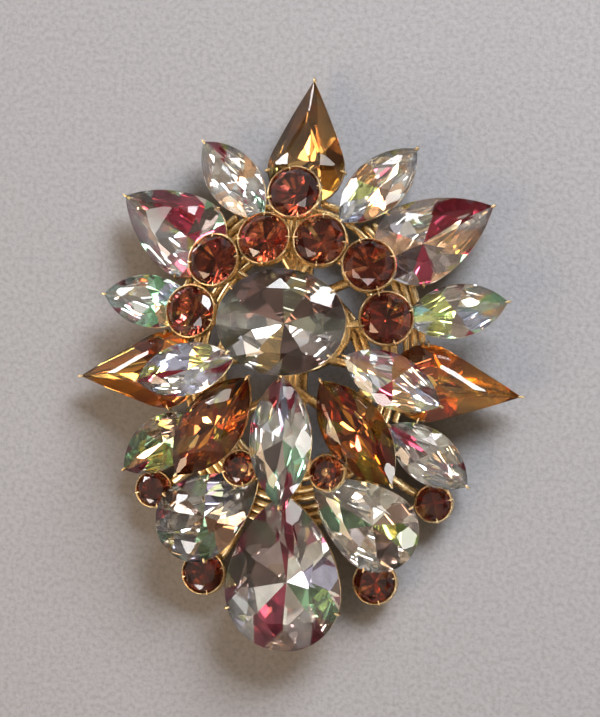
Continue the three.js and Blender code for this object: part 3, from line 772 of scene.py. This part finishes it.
def depth_in_setting(point, stone):
    """About how far a point is inside the outer walls of a stone's setting; negative outside."""
    apart = (point - stone["place"].translation).length - stone["reach"]
    if apart > 0:
        return -apart - MARGIN
    p = stone["place"].inverted() @ point
    depth = stone["pavilion"] + BELOW_STONE
    skirt = -GIRDLE / 2 - SEAT_GAP - SKIRT
    share = min(max((p.z + depth) / (skirt + depth), 0), 1)
    scale = OPEN_BACK + (1 - OPEN_BACK) * share
    wall = (STONE_GAP + WALL) * (1 - share)
    outline = stone["outline"]
    sides = [n.dot(q) * scale + wall - n.dot(p.xy.to_3d())
             for q, (n, _) in zip(outline, corner_normals(outline))]
    return min(min(sides), p.z + depth)


def free_runs(route, stones):
    """The stretches of a wire's route that lie outside the settings, without the very short ones."""
    clearance = 0.6 * WIRE
    runs = [[]]
    for point in route:
        if all(depth_in_setting(point, stone) < -clearance for stone in stones):
            runs[-1].append(point)
        elif runs[-1]:
            runs.append([])
    return [run for run in runs if len(run) > 3]


def hoop_route(hoop, row):
    """One hoop's wire, once round from its end at -Y."""
    half_x, half_y, middle, height, rows = hoop
    out = (row - (rows - 1) / 2) * HOOP_STEP
    angles = [math.radians(-90) + math.pi * k / 180 for k in range(361)]
    return [Vector(((half_x + out) * math.cos(a), middle + (half_y + out) * math.sin(a), height)) * MM
            for a in angles]


def add_hoops(bm, stones):
    for hoop in HOOPS:
        for row in range(hoop[-1]):
            for run in free_runs(hoop_route(hoop, row), stones):
                run = run[::3] + run[-1:]
                add_tube(bm, run, [HOOP_WIRE] * len(run), 12)


def add_wires(bm, stones):
    for points in WIRES + [mirrored(p) for p in WIRES] + MIDDLE_WIRES:
        for run in free_runs(smooth_route(points), stones):
            run = run[::2] + run[-1:]
            add_tube(bm, run, [WIRE] * len(run), 14)


def add_posts(bm):
    """Each post is wider at its foot and at its domed top."""
    for x, y, top in MIDDLE_POSTS + SIDE_POSTS + mirrored(SIDE_POSTS):
        heights = [5.75, 6.0, 6.6, top - 1.2, top - 0.95]
        widths = [1.0, 1.15, 0.85, 0.85, 1.0]
        add_tube(bm, [Vector((x, y, z)) * MM for z in heights], [w * MM for w in widths], 18)


def add_hub(bm):
    angles = [2 * math.pi * k / HUB_CORNERS for k in range(HUB_CORNERS)]
    circle = [(math.cos(a), math.sin(a)) for a in angles]
    rings = []
    for out, z in HUB_SECTION:
        rings.append([((HUB_X + out) * c * MM, (HUB_MIDDLE + (HUB_Y + out) * s) * MM, (FZ + z) * MM)
                      for c, s in circle])
    add_band(bm, rings)


def add_spine(bm):
    """Three bars side by side down the middle."""
    for x, radius, sides in ((0, 0.56, 14), (-0.62, 0.5, 12), (0.62, 0.5, 12)):
        points = [Vector((x, y, FZ)) * MM for y in SPINE]
        add_tube(bm, points, [radius * MM] * len(points), sides)


def make_frame(gold, small_stones, all_stones):
    """The frame with the cups of the small round stones, as one piece."""
    bm = bmesh.new()
    add_hoops(bm, all_stones)
    add_wires(bm, all_stones)
    add_posts(bm)
    add_hub(bm)
    add_spine(bm)
    for stone in small_stones:
        merge(bm, cup_mesh(stone, CUP_WALL, SMALL_CLAW), stone["place"])
    bmesh.ops.recalc_face_normals(bm, faces=bm.faces)
    piece = new_piece("frame_wires", bm, [gold])
    finish_piece(piece, "back_frame")


# Cups in the crescent whose stones are nearer than this are neighbours, joined by solder.
NEIGHBOUR = 6.6 * MM


def make_crescent(gold, stones):
    """Seven cups with a bridge of solder between neighbours."""
    bm = bmesh.new()
    for stone in stones:
        merge(bm, cup_mesh(stone, CUP_WALL, SMALL_CLAW), stone["place"])
    drop = Vector((0, 0, -1.2 * MM))
    for i, a in enumerate(stones):
        for b in stones[i + 1:]:
            start, end = a["place"].translation, b["place"].translation
            if (start - end).length < NEIGHBOUR:
                points = [start.lerp(end, t) + drop for t in (0.36, 0.45, 0.55, 0.64)]
                add_tube(bm, points, [0.5 * MM, 0.42 * MM, 0.42 * MM, 0.5 * MM], 12)
    bmesh.ops.recalc_face_normals(bm, faces=bm.faces)
    piece = new_piece("crescent_settings", bm, [gold])
    finish_piece(piece, "crescent_cups")


def dress_pin_parts(gold, bright):
    """The pin, hinge and catch keep their CAD solids, with softened edges of the given width."""
    parts = (
        ("pin_bar", gold, 0.14), ("hinge_rivet", bright, 0.06), ("pin_stem", bright, 0.05),
        ("catch_housing", gold, 0.10), ("catch_rotor", bright, 0.07),
    )
    for name, material, width in parts:
        node = frame["nodes"][name]
        node.data.materials.clear()
        node.data.materials.append(material)
        weld = node.modifiers.new("weld", "WELD")
        weld.merge_threshold = 0.002 * MM
        bevel = node.modifiers.new("soft edges", "BEVEL")
        bevel.width = width * MM
        bevel.segments = 3
        bevel.limit_method = "ANGLE"
        bevel.angle_limit = math.radians(40)


# ---- the assembly ---------------------------------------------------------------------------------

make_camera()
make_light()
make_floor()
gold = make_gold("gold_plate", (0.80, 0.62, 0.36), (0.50, 0.34, 0.16), 0.16)
bright = make_gold("pin_wire", (0.90, 0.76, 0.50), (0.70, 0.53, 0.28), 0.12)
FINISHES = {
    "rainbow_crystal": (make_glass("rainbow_glass", RAINBOW_CROWN), make_foil("rainbow_foil", RAINBOW)),
    # the pear at the lower left: rainbow glass over a foil darkened as painted shade
    "shaded_pear": (make_glass("dusky_glass", RAINBOW_CROWN), make_foil("shaded_pear_foil", RAINBOW_IN_SHADE)),
    "silver_navettes": (make_glass("silver_glass", RAINBOW_CROWN), make_foil("silver_foil", SILVER)),
    "amber_crystal": (make_glass("amber_glass", AMBER_CROWN), make_foil("amber_foil", AMBER)),
    "olive_dart": (make_glass("olive_glass", OLIVE_CROWN), make_foil("olive_foil", OLIVE)),
    "honey_darts": (make_glass("honey_glass", HONEY_CROWN), make_foil("honey_foil", HONEY)),
    "topaz_crystal": (make_glass("topaz_glass", TOPAZ_CROWN), make_foil("topaz_foil", TOPAZ)),
    "smoky_crystal": (make_glass("smoky_glass", SMOKY_CROWN), make_foil("smoky_foil", SMOKY)),
}
# Seeds of the stones whose facet colours were chosen one by one. Any other stone's comes from its
# number.
SEEDS = {
    "gem_navette_upper_left": 211, "gem_pear_upper_left": 519, "gem_pear_upper_right": 213,
    "gem_navette_amber_right": 415, "gem_navette_amber_left": 416,
    "gem_round_side_right": 417, "gem_round_bottom_right": 418,
}
FIRST_SEED = 100
SLOTS = {row["node"]: row["material_slot"] for row in frame["record"]["subparts"]}


def finish_of(name):
    """The slot's finish, apart from the darts, the paler coated stones and the pear at the lower left,
    whose foil has painted shade.
    """
    if name in DARTS:
        return "honey_darts" if "side" in name else "olive_dart"
    # the pear at the lower left takes the foil darkened as painted shade
    if name == "gem_pear_lower_left":
        return "shaded_pear"
    if SLOTS[name] == "rainbow_crystal" and ("navette" in name or "upper" in name):
        return "silver_navettes"
    return SLOTS[name]


stones = {name: read_stone(name) for name in sorted(frame["nodes"]) if name.startswith("gem_")}
for number, (name, stone) in enumerate(stones.items()):
    rng = random.Random(SEEDS.get(name, FIRST_SEED + number))
    materials = FINISHES[finish_of(name)]
    piece = new_piece(name.replace("gem_", "stone_"), cut_stone(stone, rng), materials, stone["place"])
    finish_piece(piece, name)
    node = name.replace("gem_", "setting_")
    if node in frame["nodes"]:
        band = new_piece(node.replace("setting_", "band_"), cup_mesh(stone), [gold], stone["place"])
        finish_piece(band, node)

crescent = [stone for name, stone in stones.items() if "crescent" in name]
small = [stone for name, stone in stones.items() if "round" in name and "crescent" not in name]
make_crescent(gold, crescent)
make_frame(gold, small, list(stones.values()))
dress_pin_parts(gold, bright)
